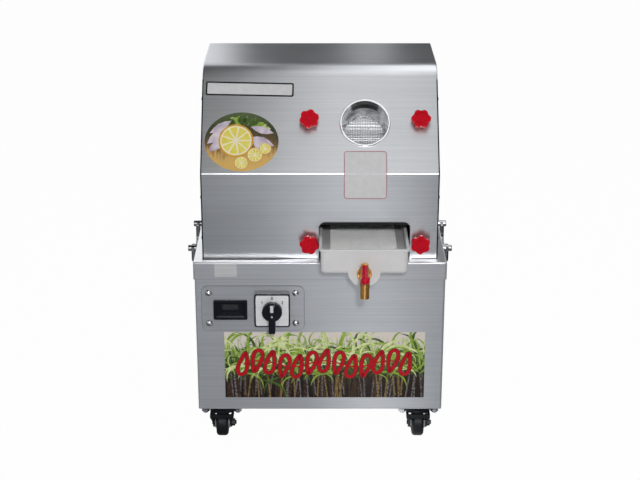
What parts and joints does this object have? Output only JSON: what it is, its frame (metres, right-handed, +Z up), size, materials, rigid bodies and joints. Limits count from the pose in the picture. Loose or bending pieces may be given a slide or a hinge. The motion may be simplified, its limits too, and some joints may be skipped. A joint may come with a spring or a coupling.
{
  "type": "sugarcane juicer",
  "caption": "Battery-run sugarcane juicer: stainless cabinet on swivel casters, folded hood with a round feed port, roller mill, slide-out juice tray with brass tap, red star knobs.",
  "frame": {"origin": "on the floor, under the middle of the machine's outer box", "axes": "+Z up, +X to the machine's right as seen from the front, +Y from the front to the back"},
  "size_m": [0.488, 0.4575, 0.683],
  "materials": {
    "stainless": "horizontally brushed stainless sheet",
    "bright_steel": "bright polished stainless",
    "mill_steel": "machined plate, light oil",
    "chrome_fittings": "polished chrome",
    "bronze": "turned bronze",
    "tap_brass": "polished golden brass",
    "knob_red": "glossy moulded plastic",
    "tray_white": "smooth white moulding",
    "black_plastic": "fine-grained black moulding",
    "meter_glass": "dark display window",
    "switch_face": "satin silver face",
    "caster_black": "black enamel on pressed steel",
    "wheel_black": "smooth black tread",
    "gearbox_metal": "cast and machined",
    "motor_paint": "dark enamel"
  },
  "bodies": {
    "machine": {"cabinet_floor": "stainless", "cabinet_shell": "stainless", "cabinet_back_panel": "stainless", "deck_pan": "stainless", "control_plate": "stainless", "hood_front": "stainless", "hood_slope": "stainless", "hood_top": "stainless", "hood_back": "stainless", "hood_sides": "stainless", "bagasse_chute": "stainless", "feed_funnel": "bright_steel", "turn_plate": "bright_steel", "mill_plates": "mill_steel", "mill_spacers": "mill_steel", "motor_plate": "mill_steel", "knob_studs": "mill_steel", "handle_brackets": "chrome_fittings", "control_plate_screws": "chrome_fittings", "caster_bolts": "chrome_fittings", "roller_bushes": "bronze", "meter_bezel": "black_plastic", "switch_body": "black_plastic", "charging_socket": "black_plastic", "batteries": "black_plastic", "meter_window": "meter_glass", "switch_plate": "switch_face", "caster_plates": "caster_black", "gearbox": "gearbox_metal", "motor": "motor_paint"},
    "switch_handle": {"switch_handle": "black_plastic"},
    "caster_fork_front_left": {"caster_fork_front_left": "caster_black"},
    "caster_wheel_front_left": {"caster_wheel_front_left": "wheel_black"},
    "caster_fork_front_right": {"caster_fork_front_right": "caster_black"},
    "caster_wheel_front_right": {"caster_wheel_front_right": "wheel_black"},
    "caster_fork_rear_left": {"caster_fork_rear_left": "caster_black"},
    "caster_wheel_rear_left": {"caster_wheel_rear_left": "wheel_black"},
    "caster_fork_rear_right": {"caster_fork_rear_right": "caster_black"},
    "caster_wheel_rear_right": {"caster_wheel_rear_right": "wheel_black"},
    "star_knob_upper_left": {"star_knob_upper_left": "knob_red"},
    "star_knob_upper_right": {"star_knob_upper_right": "knob_red"},
    "star_knob_lower_left": {"star_knob_lower_left": "knob_red"},
    "star_knob_lower_right": {"star_knob_lower_right": "knob_red"},
    "top_roller": {"top_roller": "bright_steel", "top_gear": "mill_steel"},
    "front_roller": {"front_roller": "bright_steel", "front_gear": "mill_steel"},
    "rear_roller": {"rear_roller": "bright_steel", "rear_gear": "mill_steel"},
    "drive_pinion": {"drive_pinion": "mill_steel"},
    "juice_tray": {"juice_tray": "tray_white", "strainer_frame": "bright_steel", "strainer_mesh": "bright_steel", "tap_body": "tap_brass", "tap_locknut": "tap_brass"},
    "tap_lever": {"tap_ball": "tap_brass", "tap_lever": "tap_brass", "tap_lever_grip": "knob_red"},
    "handle_bail_left": {"handle_bail_left": "chrome_fittings"},
    "handle_bail_right": {"handle_bail_right": "chrome_fittings"}
  },
  "joints": [
    {"name": "switch_turn", "type": "hinge", "parent": "machine", "child": "switch_handle", "pos_m": [-0.086, -0.13725, 0.2708], "axis": [0, -1, 0], "range_deg": [-45, 45]},
    {"name": "caster_swivel_front_left", "type": "hinge", "parent": "machine", "child": "caster_fork_front_left", "pos_m": [-0.183, -0.07925, 0.064], "axis": [0, 0, 1], "continuous": true},
    {"name": "caster_roll_front_left", "type": "hinge", "parent": "caster_fork_front_left", "child": "caster_wheel_front_left", "pos_m": [-0.183, -0.09025, 0.025], "axis": [1, 0, 0], "continuous": true},
    {"name": "caster_swivel_front_right", "type": "hinge", "parent": "machine", "child": "caster_fork_front_right", "pos_m": [0.183, -0.07925, 0.064], "axis": [0, 0, 1], "continuous": true},
    {"name": "caster_roll_front_right", "type": "hinge", "parent": "caster_fork_front_right", "child": "caster_wheel_front_right", "pos_m": [0.183, -0.09025, 0.025], "axis": [1, 0, 0], "continuous": true},
    {"name": "caster_swivel_rear_left", "type": "hinge", "parent": "machine", "child": "caster_fork_rear_left", "pos_m": [-0.183, 0.18675, 0.064], "axis": [0, 0, 1], "continuous": true},
    {"name": "caster_roll_rear_left", "type": "hinge", "parent": "caster_fork_rear_left", "child": "caster_wheel_rear_left", "pos_m": [-0.183, 0.17575, 0.025], "axis": [1, 0, 0], "continuous": true},
    {"name": "caster_swivel_rear_right", "type": "hinge", "parent": "machine", "child": "caster_fork_rear_right", "pos_m": [0.183, 0.18675, 0.064], "axis": [0, 0, 1], "continuous": true},
    {"name": "caster_roll_rear_right", "type": "hinge", "parent": "caster_fork_rear_right", "child": "caster_wheel_rear_right", "pos_m": [0.183, 0.17575, 0.025], "axis": [1, 0, 0], "continuous": true},
    {"name": "knob_turn_upper_left", "type": "hinge", "parent": "machine", "child": "star_knob_upper_left", "pos_m": [-0.019, -0.04061, 0.59712], "axis": [0, -0.788, 0.6157], "continuous": true},
    {"name": "knob_turn_upper_right", "type": "hinge", "parent": "machine", "child": "star_knob_upper_right", "pos_m": [0.179, -0.04061, 0.59712], "axis": [0, -0.788, 0.6157], "continuous": true},
    {"name": "knob_turn_lower_left", "type": "hinge", "parent": "machine", "child": "star_knob_lower_left", "pos_m": [-0.019, -0.10125, 0.3915], "axis": [0, -1, 0], "continuous": true},
    {"name": "knob_turn_lower_right", "type": "hinge", "parent": "machine", "child": "star_knob_lower_right", "pos_m": [0.179, -0.10125, 0.3915], "axis": [0, -1, 0], "continuous": true},
    {"name": "top_roller_spin", "type": "hinge", "parent": "machine", "child": "top_roller", "pos_m": [0.08, 0.05933, 0.55774], "axis": [1, 0, 0], "continuous": true},
    {"name": "front_roller_spin", "type": "hinge", "parent": "machine", "child": "front_roller", "pos_m": [0.08, 0.0187, 0.50573], "axis": [1, 0, 0], "continuous": true},
    {"name": "rear_roller_spin", "type": "hinge", "parent": "machine", "child": "rear_roller", "pos_m": [0.08, 0.09785, 0.50414], "axis": [1, 0, 0], "continuous": true},
    {"name": "pinion_spin", "type": "hinge", "parent": "machine", "child": "drive_pinion", "pos_m": [-0.039, 0.11008, 0.57621], "axis": [1, 0, 0], "continuous": true},
    {"name": "tray_slide", "type": "slide", "parent": "machine", "child": "juice_tray", "axis": [0, -1, 0], "range_m": [0, 0.2]},
    {"name": "tap_turn", "type": "hinge", "parent": "juice_tray", "child": "tap_lever", "pos_m": [0.0778, -0.18625, 0.37], "axis": [0, 0, 1], "range_deg": [0, 90]},
    {"name": "bail_swing_left", "type": "hinge", "parent": "machine", "child": "handle_bail_left", "pos_m": [-0.235, 0.04875, 0.348], "axis": [0, 1, 0], "range_deg": [0, 90]},
    {"name": "bail_swing_right", "type": "hinge", "parent": "machine", "child": "handle_bail_right", "pos_m": [0.235, 0.04875, 0.348], "axis": [0, -1, 0], "range_deg": [0, 90]}
  ],
  "couplings": [
    {"joint": "front_roller_spin", "follows": "top_roller_spin", "ratio": -1},
    {"joint": "rear_roller_spin", "follows": "top_roller_spin", "ratio": -1},
    {"joint": "pinion_spin", "follows": "top_roller_spin", "ratio": -1.5714}
  ]
}
